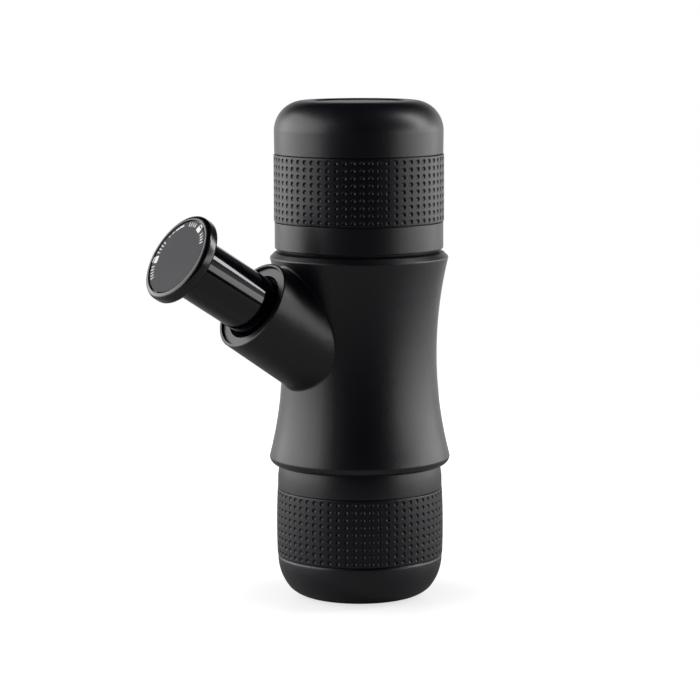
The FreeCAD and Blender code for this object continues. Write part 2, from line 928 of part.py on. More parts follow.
def make_valve_block():
    body = new_body("valve_block")
    turn_solid(body, "column", [
        ring(0, size.block_radius, size.lower_ledge_bottom, size.block_top),
    ], VALVE)
    turn_solid(body, "pump_boss", [
        ring(0, size.cylinder_flange_radius, 0 - size.block_boss_length, 0),
    ], PUMP)

    def foot(sketch):
        half = size.foot_length / 2
        left = size.valve_offset - size.foot_width / 2
        right = size.valve_offset + size.foot_width / 2
        draw(sketch, [(left, 0 - half), (right, 0 - half), (right, half), (left, half)])

    push_solid(body, "foot", size.lower_ledge_bottom, size.foot_thickness, False, foot)
    socket_radius = size.spigot_radius + size.running_gap
    socket_end = 0 - size.spigot_length - size.running_gap
    turn_solid(body, "pump_port", [[
        (0, channel_end),
        (size.port_radius, channel_end),
        (size.port_radius, socket_end),
        (socket_radius, socket_end),
        (socket_radius, 0),
        (0, 0),
    ]], PUMP, cut=True)
    turn_solid(body, "valve_bores", [[
        (0, size.lower_ledge_bottom),
        (size.valve_bore, size.lower_ledge_bottom),
        (size.valve_bore, size.throat_bottom),
        (size.valve_throat, size.throat_bottom),
        (size.valve_throat, size.throat_top),
        (size.valve_bore, size.throat_top),
        (size.valve_bore, size.block_top),
        (0, size.block_top),
    ]], VALVE, cut=True)
    discs(
        body, "screw_holes", block_screw_spots, size.block_screw_radius + size.running_gap,
        size.lower_ledge_bottom, size.lower_ledge_bottom + size.foot_thickness, cut=True,
    )


def make_valve_seat(label, bottom):
    body = new_body(label)
    top = bottom + size.seat_thickness
    turn_solid(body, "ring", [[
        (size.seat_hole, bottom),
        (size.valve_bore - size.press_gap, bottom),
        (size.valve_bore - size.press_gap, top),
        (size.seat_hole + size.seat_funnel, top),
        (size.seat_hole, top - size.seat_funnel),
    ]], VALVE)


def ball_centre(seat_bottom):
    return seat_bottom - ball_drop - size.ball_gap


def make_ball(label, seat_bottom):
    ball = doc.addObject("Part::Sphere", label)
    ball.Label = label
    set_size(ball, "Radius", size.ball_radius)
    set_size(ball, "Placement.Base.x", size.valve_offset)
    set_size(ball, "Placement.Base.z", ball_centre(seat_bottom))
    sub_parts.append(ball)


def make_valve_spring(label, seat, seat_bottom):
    top = ball_centre(seat_bottom) - ball_slope - size.valve_spring_gap
    coil(
        label, size.valve_spring_radius, size.valve_spring_wire, size.valve_spring_turns,
        seat + size.press_gap, top, VALVE,
    )


def make_valves():
    make_valve_seat("inlet_seat", size.inlet_seat_bottom)
    make_valve_seat("outlet_seat", size.outlet_seat_bottom)
    make_ball("inlet_ball", size.inlet_seat_bottom)
    make_ball("outlet_ball", size.outlet_seat_bottom)
    make_valve_spring("inlet_spring", size.throat_top, size.inlet_seat_bottom)
    make_valve_spring("outlet_spring", size.outlet_socket_bottom, size.outlet_seat_bottom)


def make_block_screws():
    body = new_body("block_screws", groups=True)
    seat = size.lower_ledge_bottom + size.foot_thickness
    tip = size.lower_ledge_bottom - size.block_screw_depth
    discs(body, "shanks", block_screw_spots, size.block_screw_radius, tip, seat)
    discs(
        body, "heads", block_screw_spots, size.block_screw_head_radius,
        seat, seat + size.block_screw_head_height,
    )


# Inlet tube, strainer and vent in the tank floor

def make_inlet_tube():
    body = new_body("inlet_tube")
    turn_solid(body, "tube", [
        ring(size.tube_bore, size.tube_radius, tube_bottom, floor_top + size.tube_rise),
    ], VALVE)


def make_inlet_strainer():
    body = new_body("inlet_strainer")
    top = floor_top + size.strainer_height
    inner = size.strainer_radius - size.strainer_wall
    rim_bore = size.tube_radius + size.free_gap
    turn_solid(body, "cap", [[
        (rim_bore, floor_top),
        (size.strainer_radius, floor_top),
        (size.strainer_radius, top - size.strainer_wall),
        (inner, top),
        (0, top),
        (0, top - size.strainer_wall),
        (inner, top - size.strainer_wall),
        (inner, floor_top + size.strainer_wall),
        (rim_bore, floor_top + size.strainer_wall),
    ]], VALVE)
    slot_bottom = floor_top + size.strainer_wall
    half = size.strainer_slot_width / 2
    reach = size.strainer_radius + size.free_gap

    def slot(sketch):
        left = inner - size.free_gap
        draw(sketch, [(left, 0 - half), (reach, 0 - half), (reach, half), (left, half)])

    cut = push_solid(
        body, "slot", slot_bottom + size.strainer_slot_height, size.strainer_slot_height,
        True, slot, VALVE,
    )
    repeat_round(body, cut, size.strainer_slots)


def make_vent_valve():
    body = new_body("vent_valve")
    turn_solid(body, "plug", [[
        (0, size.upper_ledge_top - size.vent_nose),
        (size.vent_stem_radius / 2, size.upper_ledge_top - size.vent_nose),
        (size.vent_stem_radius, size.upper_ledge_top),
        (size.vent_stem_radius, floor_top),
        (size.vent_cap_radius, floor_top),
        (size.vent_cap_radius, floor_top + size.vent_cap_height),
        (0, floor_top + size.vent_cap_height),
    ]], VENT)


# Upper frame: tank floor and threaded neck

def make_tank_neck():
    body = new_body("tank_neck")
    flange_top = size.lip_height - size.running_gap
    turn_solid(body, "neck", [[
        (0, size.upper_ledge_top),
        (size.neck_flange_radius, size.upper_ledge_top),
        (size.neck_flange_radius, flange_top),
        (size.neck_radius, flange_top),
        (size.neck_radius, size.neck_top - size.neck_edge),
        (size.neck_radius - size.neck_edge, size.neck_top),
        (size.neck_bore, size.neck_top),
        (size.neck_bore, floor_top),
        (0, floor_top),
    ]])
    thread(body, "thread", size.neck_radius, size.neck_thread_height, size.neck_thread_start)
    boss_bottom = size.upper_ledge_top - size.chassis_boss_length
    discs(body, "bosses", chassis_spots, size.chassis_boss_radius, boss_bottom, size.upper_ledge_top)
    discs(
        body, "screw_sockets", chassis_spots, size.chassis_screw_radius + size.press_gap,
        boss_bottom, boss_bottom + size.chassis_thread_depth + size.free_gap, cut=True,
    )
    discs(
        body, "tube_hole", [(size.valve_offset, 0)], size.tube_radius + size.running_gap,
        size.upper_ledge_top, floor_top, cut=True,
    )
    discs(
        body, "vent_hole", [(0 - size.vent_offset, 0)], size.vent_stem_radius + size.running_gap,
        size.upper_ledge_top, floor_top, cut=True,
    )


def make_chassis_screws():
    body = new_body("chassis_screws", groups=True)
    head_bottom = plate_bottom + size.running_gap
    head_top = head_bottom + size.chassis_head_height
    tip = size.upper_ledge_top - size.chassis_boss_length + size.chassis_thread_depth
    discs(body, "shanks", chassis_spots, size.chassis_screw_radius, head_top, tip)
    discs(body, "heads", chassis_spots, size.chassis_head_radius, head_bottom, head_top)


# Brew head: lower frame with the threaded collar

def make_brew_head():
    body = new_body("brew_head")
    turn_solid(body, "plate", [[
        (0, size.core_bottom),
        (size.collar_bore, size.core_bottom),
        (size.collar_bore, size.collar_bottom),
        (size.collar_radius, size.collar_bottom),
        (size.collar_radius, plate_bottom),
        (size.plate_radius, plate_bottom),
        (size.plate_radius, size.lower_ledge_bottom),
        (0, size.lower_ledge_bottom),
    ]])
    thread(body, "thread", size.collar_radius, size.collar_thread_height, size.collar_thread_start)
    turn_solid(body, "outlet_socket", [[
        (0, size.core_bottom),
        (size.port_radius, size.core_bottom),
        (size.port_radius, size.outlet_socket_bottom),
        (size.valve_bore, size.outlet_socket_bottom),
        (size.valve_bore, size.lower_ledge_bottom),
        (0, size.lower_ledge_bottom),
    ]], VALVE, cut=True)
    seal_outer = size.port_seal_radius + size.port_seal_width
    turn_solid(body, "seal_groove", [ring(
        size.port_seal_radius - size.press_gap, seal_outer + size.press_gap,
        size.lower_ledge_bottom - size.port_seal_depth, size.lower_ledge_bottom,
    )], VALVE, cut=True)
    discs(
        body, "block_screw_holes", block_screw_spots, size.block_screw_radius + size.press_gap,
        size.lower_ledge_bottom - size.block_screw_depth - size.free_gap, size.lower_ledge_bottom, cut=True,
    )
    discs(
        body, "chassis_holes", chassis_spots, size.chassis_screw_radius + size.running_gap,
        plate_bottom, size.lower_ledge_bottom, cut=True,
    )
    discs(
        body, "chassis_head_seats", chassis_spots, size.chassis_head_radius + size.running_gap,
        plate_bottom, plate_bottom + size.running_gap + size.chassis_head_height, cut=True,
    )
    discs(
        body, "shower_screw_hole", [(0, 0)], size.shower_screw_radius + size.press_gap,
        size.core_bottom, size.core_bottom + size.shower_screw_length, cut=True,
    )


def make_port_seal():
    body = new_body("port_seal")
    turn_solid(body, "ring", [ring(
        size.port_seal_radius, size.port_seal_radius + size.port_seal_width,
        size.lower_ledge_bottom - size.port_seal_depth, size.lower_ledge_bottom,
    )], VALVE)


# Shower screen and its screw

screen_bottom = size.core_bottom - size.screen_sheet * 2


def make_shower_screen():
    body = new_body("shower_screen")
    rim = size.screen_radius - size.screen_sheet
    sheet_top = screen_bottom + size.screen_sheet
    turn_solid(body, "dish", [[
        (size.shower_screw_radius + size.running_gap, screen_bottom),
        (size.screen_radius, screen_bottom),
        (size.screen_radius, size.core_bottom),
        (rim, size.core_bottom),
        (rim, sheet_top),
        (size.shower_screw_radius + size.running_gap, sheet_top),
    ]])
    hole_rings(body, size.screen_hole, size.screen_ring, 3, sheet_top, size.screen_sheet)


def make_shower_screw():
    body = new_body("shower_screw")
    tip = screen_bottom + size.shower_screw_length
    discs(body, "shank", [(0, 0)], size.shower_screw_radius, screen_bottom, tip)
    discs(
        body, "head", [(0, 0)], size.shower_head_radius,
        screen_bottom - size.shower_head_height, screen_bottom,
    )


# Basket, gasket and outlet head

basket_top = size.basket_rest + size.basket_flange


def make_filter_basket():
    body = new_body("filter_basket")
    inner = size.basket_radius - size.basket_wall
    floor = size.basket_bottom + size.basket_wall
    turn_solid(body, "pan", [[
        (0, size.basket_bottom),
        (size.basket_radius, size.basket_bottom),
        (size.basket_radius, size.basket_rest),
        (size.basket_flange_radius, size.basket_rest),
        (size.basket_flange_radius, basket_top),
        (inner, basket_top),
        (inner, floor),
        (0, floor),
    ]])
    hole_rings(body, size.basket_hole, size.basket_ring, 4, floor, size.basket_wall)


def make_brew_gasket():
    body = new_body("brew_gasket")
    inner = size.brew_gasket_radius - size.brew_gasket_width
    turn_solid(body, "ring", [
        ring(inner, size.brew_gasket_radius, basket_top + size.press_gap, size.collar_bottom),
    ])


def make_outlet_head():
    body = new_body("outlet_head")
    pocket = size.basket_radius + size.head_pocket_gap
    turn_solid(body, "bowl", [[
        (size.spout_bore, size.spout_tip),
        (size.spout_radius, size.spout_tip),
        (size.spout_root_radius, size.spout_root),
        (size.head_radius - size.head_corner, size.head_under),
        (size.head_radius, size.head_under + size.head_corner, LEFT, size.head_corner),
        (size.head_radius, size.head_top),
        (size.head_bore, size.head_top),
        (size.head_bore, size.basket_rest),
        (pocket, size.basket_rest),
        (pocket, size.head_floor),
        (size.spout_bore, size.head_funnel_bottom),
    ]])
    thread(body, "thread", size.head_bore, 0 - size.head_thread_height, size.head_thread_start)
    flute = discs(
        body, "flute", [(size.flute_circle, 0)], size.flute_radius,
        size.flute_bottom, size.flute_top, cut=True,
    )
    repeat_round(body, flute, size.flute_count)


# Cup, its grip band and its seal

def make_cup():
    body = new_body("cup")
    groove_top = cup_seal_bottom + size.cup_seal_height
    groove_floor = size.cup_rim_radius - size.cup_seal_depth
    turn_solid(body, "bowl", [[
        (0, 0),
        (size.cup_foot_radius, 0),
        (size.cup_heel_radius, size.cup_heel_height, LEFT, size.cup_foot_round),
        (size.cup_band_low_radius, size.cup_band_bottom, LEFT, size.cup_bowl_round),
        (size.cup_seat_radius, size.cup_band_bottom),
        (size.cup_seat_radius, cup_band_top),
        (size.cup_band_high_radius, cup_band_top),
        (size.cup_shoulder_radius, cup_shoulder_height),
        (size.cup_throat_radius, cup_throat_height),
        (size.cup_rim_radius, cup_rim_step),
        (size.cup_rim_radius, cup_seal_bottom),
        (groove_floor, cup_seal_bottom),
        (groove_floor, groove_top),
        (size.cup_rim_radius, groove_top),
        (size.cup_rim_radius, cup_rim_top - size.cup_rim_edge),
        (size.cup_rim_radius - size.cup_rim_edge, cup_rim_top),
        (size.cup_bore, cup_rim_top),
        (size.cup_bore, size.cup_band_bottom),
        (size.cup_inner_heel_radius, size.cup_inner_heel_height, RIGHT, size.cup_inner_round),
        (size.cup_inner_foot_radius, size.cup_floor, RIGHT, size.cup_inner_foot_round),
        (0, size.cup_floor),
    ]])


def make_cup_grip_band():
    body = new_body("cup_grip_band")
    inner = size.cup_seat_radius + size.press_gap
    bottom = size.cup_band_bottom + size.band_end_gap / 2
    top = cup_band_top - size.band_end_gap / 2
    low = size.cup_band_low_radius + size.band_end_gap
    high = size.cup_band_high_radius + size.band_end_gap / 2
    turn_solid(body, "sleeve", [[
        (inner, bottom),
        (low - size.band_edge, bottom),
        (low, bottom + size.band_edge),
        (high, top - size.band_edge, LEFT, size.cup_band_swell),
        (high - size.band_edge, top),
        (inner, top),
    ]])


def make_cup_seal():
    body = new_body("cup_seal")
    inner = size.cup_rim_radius - size.cup_seal_depth + size.press_gap
    outer = size.cup_rim_radius + size.cup_seal_reach
    turn_solid(body, "ring", [ring(
        inner, outer, cup_seal_bottom + size.press_gap,
        cup_seal_bottom + size.cup_seal_height - size.press_gap,
    )])


def check_document():
    """Stop on any failed object, empty cut or bad shape."""
    for item in doc.Objects:
        if "Invalid" in item.State or "Error" in item.State:
            raise RuntimeError(f"{item.Name} failed: {item.State}")
        if item.TypeId in ("PartDesign::Groove", "PartDesign::Pocket"):
            before = item.BaseFeature.Shape.Volume
            if item.Shape.Volume >= before:
                raise RuntimeError(f"{item.Name} cuts nothing")
    for item in sub_parts:
        if item.Shape.isNull() or not item.Shape.isValid():
            raise RuntimeError(f"{item.Label} has no valid shape")


def write_parts():
    os.makedirs("parts", exist_ok=True)
    for item in sub_parts:
        item.Shape.exportStep(f"parts/{item.Label}.step")
        box = item.Shape.BoundBox
        solids = len(item.Shape.Solids)
        print(f"{item.Label:16} solids {solids} volume {item.Shape.Volume:9.1f} top {box.ZMax:6.1f}")


make_water_tank()
make_tank_grip_band()
make_tank_gasket()
make_main_housing()
make_barrel_liner()
make_guide_bush()
make_lock_ring()
make_piston_sleeve()
make_piston_knob()
make_knob_label_disc()
make_knob_screw()
make_pump_cylinder()
make_plunger()
make_plunger_seals()
make_return_spring()
make_valve_block()
make_valves()
make_block_screws()
make_inlet_tube()
make_inlet_strainer()
make_vent_valve()
make_tank_neck()
make_chassis_screws()
make_brew_head()
make_port_seal()
make_shower_screen()
make_shower_screw()
make_filter_basket()
make_brew_gasket()
make_outlet_head()
make_cup()
make_cup_grip_band()
make_cup_seal()
doc.recompute()
check_document()
write_parts()
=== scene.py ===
# %% [markdown]
# # A hand-pumped espresso maker, dressed for a studio picture
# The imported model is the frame: every piece below is built in metres in its coordinates, and
# rides on one of its bodies. The solids of the frame are right in size but coarse on their round
# faces, so each round piece that shows is turned again here with fine steps, soft edges and a
# finish of its own.

import json
import math

import bmesh
import bpy
from mathutils import Matrix, Vector


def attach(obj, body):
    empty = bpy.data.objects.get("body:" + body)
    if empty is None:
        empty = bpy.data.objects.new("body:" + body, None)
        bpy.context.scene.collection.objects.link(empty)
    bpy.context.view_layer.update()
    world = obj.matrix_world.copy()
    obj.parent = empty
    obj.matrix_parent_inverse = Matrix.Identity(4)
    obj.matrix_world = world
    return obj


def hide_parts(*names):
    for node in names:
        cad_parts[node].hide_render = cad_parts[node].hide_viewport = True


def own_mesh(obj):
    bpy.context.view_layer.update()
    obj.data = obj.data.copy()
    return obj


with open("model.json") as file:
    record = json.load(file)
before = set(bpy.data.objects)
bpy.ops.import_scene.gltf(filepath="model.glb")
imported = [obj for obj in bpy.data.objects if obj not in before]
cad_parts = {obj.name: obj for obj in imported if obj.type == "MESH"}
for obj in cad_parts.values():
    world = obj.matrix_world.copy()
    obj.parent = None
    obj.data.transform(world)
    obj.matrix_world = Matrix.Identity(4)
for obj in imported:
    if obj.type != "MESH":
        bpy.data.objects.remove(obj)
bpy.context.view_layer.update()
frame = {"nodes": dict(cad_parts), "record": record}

# %% [markdown]
# ## Three axes and one ruler
# Everything on the real object is turned on a lathe or moulded round, about one of three lines:
# the upright line through cup, body and tank, the slanted line of the pump, and a short upright
# line through the valves. Sizes are written in millimetres, and one factor makes them metres.

# %% Axes
MM = 0.001
FULL_TURN = 2 * math.pi
UP = Vector((0, 0, 1))
PUMP_AXIS_HEIGHT = 80.5
PUMP_RISE = math.radians(32)

UPRIGHT = Matrix.Identity(4)
PUMP_TURN = Matrix.Rotation(PUMP_RISE - math.pi / 2, 4, "Y")
PUMP = Matrix.Translation((0, 0, PUMP_AXIS_HEIGHT)) @ PUMP_TURN
TO_METRES = Matrix.Scale(MM, 4)
print("pump axis points along", [round(value, 3) for value in PUMP.to_3x3() @ UP])

# %% [markdown]
# ## A lathe
# A turned piece is a closed outline in the plane of its axis, spun once round. Before it is spun,
# each corner that has a radius is softened with a vertex bevel on the bare wire, which gives a
# true arc of few points. After the spin the points on the axis fall together and are merged.

# %% Lathe
STEPS_ROUND = 128
ARC_STEPS = 4
MERGE = 0.0005


def soften(mesh, corner, radius):
    bmesh.ops.bevel(
        mesh, geom=[corner], offset=radius, offset_type="OFFSET", segments=ARC_STEPS,
        profile=0.5, affect="VERTICES", material=-1,
    )


def wire(mesh, outline):
    """A closed wire through (radius, height) or (radius, height, corner radius)."""
    corners = [mesh.verts.new((point[0], 0, point[1])) for point in outline]
    for index, corner in enumerate(corners):
        mesh.edges.new((corners[index - 1], corner))
    for corner, point in zip(corners, outline):
        if len(point) > 2:
            soften(mesh, corner, point[2])


def spin_wire(mesh):
    bmesh.ops.spin(
        mesh, geom=mesh.verts[:] + mesh.edges[:], cent=(0, 0, 0), axis=UP,
        angle=FULL_TURN, steps=STEPS_ROUND, use_merge=True,
    )
    bmesh.ops.remove_doubles(mesh, verts=mesh.verts, dist=MERGE)
    loose = [edge for edge in mesh.edges if not edge.link_faces]
    bmesh.ops.delete(mesh, geom=loose, context="EDGES")
    bmesh.ops.recalc_face_normals(mesh, faces=mesh.faces)


def add_object(name, data):
    made = bpy.data.objects.new(name, data)
    bpy.context.scene.collection.objects.link(made)
    return made


def mesh_object(name, mesh, finish):
    data = bpy.data.meshes.new(name)
    mesh.to_mesh(data)
    mesh.free()
    made = add_object(name, data)
    made.data.materials.append(finish)
    return made


def new_piece(name, mesh, place, body, finish, stands_for=()):
    """Puts a finished mesh into the frame: in metres, on its body, with its finish."""
    mesh.transform(TO_METRES @ place)
    for face in mesh.faces:
        face.smooth = True
    piece = mesh_object(name, mesh, finish)
    weighted = piece.modifiers.new("even_normals", "WEIGHTED_NORMAL")
    weighted.keep_sharp = True
    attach(piece, body)
    if stands_for:
        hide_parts(*stands_for)
    print(f"{name}: {len(piece.data.polygons)} faces")
    return piece


def turned(node_name, outline, place, body, finish):
    mesh = bmesh.new()
    wire(mesh, outline)
    spin_wire(mesh)
    new_piece("fine_" + node_name, mesh, place, body, finish, (node_name,))


# %% [markdown]
# ## Grain and drift as shared node groups
# Moulded plastic copies the fine spark grain of its steel mould. Hands leave faint, wide smudges
# that change only the gloss, and pigment is never quite even. The last two are one kind of thing,
# a value that drifts in soft patches. Each is a node group with its own inputs, placed in a
# material with that material's values.

# %% Small makers of nodes
def combine(tree, operation, *terms):
    """A math node over terms, each a socket or a number. Returns its output."""
    node = tree.nodes.new("ShaderNodeMath")
    node.operation = operation
    for socket, term in zip(node.inputs, terms):
        if isinstance(term, bpy.types.NodeSocket):
            tree.links.new(term, socket)
        else:
            socket.default_value = term
    return node.outputs[0]


def object_place(tree):
    return tree.nodes.new("ShaderNodeTexCoord").outputs["Object"]


def noise(tree, place, scale, detail, roughness):
    """Noise over a place; the scale is a socket or a number. Returns its output."""
    node = tree.nodes.new("ShaderNodeTexNoise")
    node.inputs["Detail"].default_value = detail
    node.inputs["Roughness"].default_value = roughness
    tree.links.new(place, node.inputs["Vector"])
    if isinstance(scale, bpy.types.NodeSocket):
        tree.links.new(scale, node.inputs["Scale"])
    else:
        node.inputs["Scale"].default_value = scale
    return node.outputs["Fac"]


# %% Grain and drift groups
FINE_STEP = 2.7


def group_of(name, inputs, output):
    """A node group with float inputs and their first values. Returns it, its inputs, its output."""
    group = bpy.data.node_groups.new(name, "ShaderNodeTree")
    for label, start in inputs.items():
        socket = group.interface.new_socket(label, in_out="INPUT", socket_type="NodeSocketFloat")
        socket.default_value = start
    group.interface.new_socket(output, in_out="OUTPUT", socket_type="NodeSocketFloat")
    given = group.nodes.new("NodeGroupInput").outputs
    result = group.nodes.new("NodeGroupOutput").inputs[output]
    return group, given, result


def make_grain_group():
    """Height of a fine moulded grain: noise at a scale, with a second, finer one over it."""
    group, given, result = group_of("moulded_grain", {"Scale": 2200, "Fine": 0.4}, "Height")
    place = object_place(group)
    coarse = noise(group, place, given["Scale"], detail=3, roughness=0.6)
    fine_scale = combine(group, "MULTIPLY", given["Scale"], FINE_STEP)
    fine = noise(group, place, fine_scale, detail=1, roughness=0.5)
    share = combine(group, "MULTIPLY", fine, given["Fine"])
    group.links.new(combine(group, "ADD", coarse, share), result)
    return group


def make_drift_group(name, scale, detail, roughness):
    """A value that drifts about a middle one in wide soft patches, and stays between 0 and 1."""
    inputs = {"Middle": 0.5, "Spread": 0.1, "Scale": scale}
    group, given, result = group_of(name, inputs, "Value")
    patches = noise(group, object_place(group), given["Scale"], detail, roughness)
    centred = combine(group, "SUBTRACT", patches, 0.5)
    drift = combine(group, "MULTIPLY", centred, given["Spread"])
    total = combine(group, "ADD", drift, given["Middle"])
    total.node.use_clamp = True
    group.links.new(total, result)
    return group


GRAIN = make_grain_group()
SMUDGES = make_drift_group("hand_smudges", scale=55, detail=4, roughness=0.55)
PIGMENT = make_drift_group("pigment_drift", scale=90, detail=2, roughness=0.5)
print("node groups:", [group.name for group in bpy.data.node_groups])

# %% [markdown]
# ## Finishes
# One function makes every moulded finish: a dark base colour between two close shades, a
# roughness that the smudges move, and a bump from the grain. The satin shells, the soft grip, the
# polished tube and the printed disc differ only in their values. Metal gets its own function,
# with long brushed streaks.

# %% Plastic and rubber
MOULDED_SHADES = 0.12
PIGMENT_SPREAD = 0.8


def new_finish(name):
    """A material, its node tree and the inputs of its shader."""
    finish = bpy.data.materials.new(name)
    finish.use_nodes = True
    return finish, finish.node_tree, finish.node_tree.nodes["Principled BSDF"].inputs


def add_group(tree, group, **values):
    node = tree.nodes.new("ShaderNodeGroup")
    node.node_tree = group
    for label, value in values.items():
        node.inputs[label].default_value = value
    return node.outputs[0]


def two_shades(tree, colour, step, factor):
    """A colour that the factor moves from a step darker to a step lighter."""
    blend = tree.nodes.new("ShaderNodeMix")
    blend.data_type = "RGBA"
    blend.inputs["A"].default_value = [value * (1 - step) for value in colour] + [1]
    blend.inputs["B"].default_value = [value * (1 + step) for value in colour] + [1]
    tree.links.new(factor, blend.inputs["Factor"])
    return blend.outputs["Result"]


def bumped(tree, height, depth):
    """A normal that is bumped by a height, as deep as depth says in millimetres."""
    bump = tree.nodes.new("ShaderNodeBump")
    bump.inputs["Strength"].default_value = 1
    bump.inputs["Distance"].default_value = depth * MM
    tree.links.new(height, bump.inputs["Height"])
    return bump.outputs["Normal"]


def moulded(name, colour, roughness, drift, grain, depth, specular=0.5):
    """Roughness moves by up to half of drift; grain is a noise scale, and depth is in mm."""
    finish, tree, shader = new_finish(name)
    shader["Specular IOR Level"].default_value = specular
    shader["Metallic"].default_value = 0
    height = add_group(tree, GRAIN, Scale=grain)
    gloss = add_group(tree, SMUDGES, Middle=roughness, Spread=drift)
    pigment = add_group(tree, PIGMENT, Spread=PIGMENT_SPREAD)
    tree.links.new(two_shades(tree, colour, MOULDED_SHADES, pigment), shader["Base Color"])
    tree.links.new(gloss, shader["Roughness"])
    tree.links.new(bumped(tree, height, depth), shader["Normal"])
    return finish


BODY_BLACK = moulded(
    "satin_black_shell", (0.0013, 0.0015, 0.0042), roughness=0.39, drift=0.10,
    grain=800, depth=0.030,
)
GRIP_BLACK = moulded(
    "soft_grip_black", (0.0016, 0.0018, 0.0045), roughness=0.37, drift=0.06,
    grain=1500, depth=0.010, specular=0.38,
)
GLOSS_BLACK = moulded(
    "polished_black_tube", (0.0016, 0.0017, 0.0034), roughness=0.07, drift=0.03,
    grain=900, depth=0.0004,
)
KNOB_BLACK = moulded(
    "knob_black", (0.0018, 0.0019, 0.0036), roughness=0.22, drift=0.06, grain=1800, depth=0.002,
)
LINER_BLACK = moulded(
    "satin_liner", (0.0050, 0.0051, 0.0068), roughness=0.38, drift=0.06,
    grain=1500, depth=0.012, specular=0.48,
)
LABEL_GREY = moulded(
    "knob_disc_grey", (0.0275, 0.0282, 0.0325), roughness=0.52, drift=0.05,
    grain=4200, depth=0.010, specular=0.15,
)
MARK_WHITE = moulded(
    "printed_mark", (0.62, 0.62, 0.62), roughness=0.45, drift=0.05, grain=3000, depth=0.002,
)
FRAME_GREY = moulded(
    "glass_filled_frame", (0.0230, 0.0235, 0.0250), roughness=0.48, drift=0.10,
    grain=1200, depth=0.012,
)
BEARING_WHITE = moulded(
    "acetal", (0.60, 0.59, 0.56), roughness=0.38, drift=0.05, grain=1500, depth=0.004,
)
SEAL_BLACK = moulded(
    "silicone_seal", (0.0110, 0.0110, 0.0115), roughness=0.55, drift=0.06,
    grain=1500, depth=0.006,
)

# %% Brushed steel
BRUSHED_SHADES = 0.10
BRUSHED_DRIFT = 0.12
STREAK_SCALE = 900
STREAK_DEPTH = 0.003


def brushed(name, colour, roughness, along):
    """Bare metal with fine streaks; along stretches them on each axis."""
    finish, tree, shader = new_finish(name)
    shader["Metallic"].default_value = 1
    stretch = tree.nodes.new("ShaderNodeMapping")
    stretch.inputs["Scale"].default_value = along
    tree.links.new(object_place(tree), stretch.inputs["Vector"])
    streaks = noise(tree, stretch.outputs["Vector"], STREAK_SCALE, detail=3, roughness=0.6)
    gloss = add_group(tree, SMUDGES, Middle=roughness, Spread=BRUSHED_DRIFT)
    tree.links.new(two_shades(tree, colour, BRUSHED_SHADES, streaks), shader["Base Color"])
    tree.links.new(gloss, shader["Roughness"])
    tree.links.new(bumped(tree, streaks, STREAK_DEPTH), shader["Normal"])
    return finish


STEEL = brushed("brushed_steel", (0.60, 0.60, 0.61), roughness=0.28, along=(1, 1, 6))
print("finishes:", sorted(material.name for material in bpy.data.materials))

# %% [markdown]
# ## Finishes for the solids that stay
# The inner pieces are hidden at rest. Their solids are right as they are, so they only get a
# finish in their material slots, by the slot name that the record gives them.

# %% Inner solids
BY_SLOT = {
    "body_plastic": BODY_BLACK,
    "grip_rubber": GRIP_BLACK,
    "gloss_black": GLOSS_BLACK,
    "liner_plastic": LINER_BLACK,
    "label_grey": LABEL_GREY,
    "frame_plastic": FRAME_GREY,
    "bearing_plastic": BEARING_WHITE,
    "steel": STEEL,
    "seal_rubber": SEAL_BLACK,
}
slot_of = {part["node"]: part["material_slot"] for part in frame["record"]["subparts"]}
for node_name, node in frame["nodes"].items():
    for material_slot in node.material_slots:
        material_slot.material = BY_SLOT[slot_of[node_name]]
print("solids with a finish:", len(frame["nodes"]))

# %% [markdown]
# ## Curves in an outline
# Most corners of a turned piece are softened by the lathe. A long sweep, such as the corner of
# the tank or the bowl of the cup, is an arc between two points with a given radius, so a short
# function lists points on it.

# %% Long arcs
def sweep(start, end, radius, steps, turn=1):
    """Points after start up to end on an arc; turn 1 bends it anticlockwise, -1 clockwise."""
    first, last = Vector(start), Vector(end)
    run = last - first
    rise = math.sqrt(radius ** 2 - (run.length / 2) ** 2)
    centre = (first + last) / 2 + Vector((-run.y, run.x)).normalized() * rise * turn
    opening = math.atan2(first.y - centre.y, first.x - centre.x)
    closing = math.atan2(last.y - centre.y, last.x - centre.x)
    span = (closing - opening + math.pi) % FULL_TURN - math.pi
    angles = [opening + span * step / steps for step in range(1, steps + 1)]
    return [(centre.x + radius * math.cos(a), centre.y + radius * math.sin(a)) for a in angles]


# %% [markdown]
# ## Water tank
# The tank is one moulding: a straight ring at the bottom, a shallow seat for the grip band, a
# slightly wider shoulder, a wide rounded corner and a top with a shallow dish. All of it is round
# about the upright axis, so it is turned from one outline, wall and inside included. Its gasket
# fills the gap to the housing.

# %% Tank
LIP_HEIGHT = 125.6
TANK_BOTTOM = 126.8
TANK_TOP = 180
TANK_BORE = 26.8
TANK_RING = 30.4
TANK_SEAT = 29.25
SEAT_LOW, SEAT_HIGH = 136.5, 161
DISH_RADIUS, DISH_FLOOR = 16, 179.5
CEILING = 177.5
GASKET_RADIUS = 28.4
shoulder, crown = (30.5, 169.1), (19.6, TANK_TOP)
inner_crown, inner_shoulder = (19.6, CEILING), (28, 169.1)

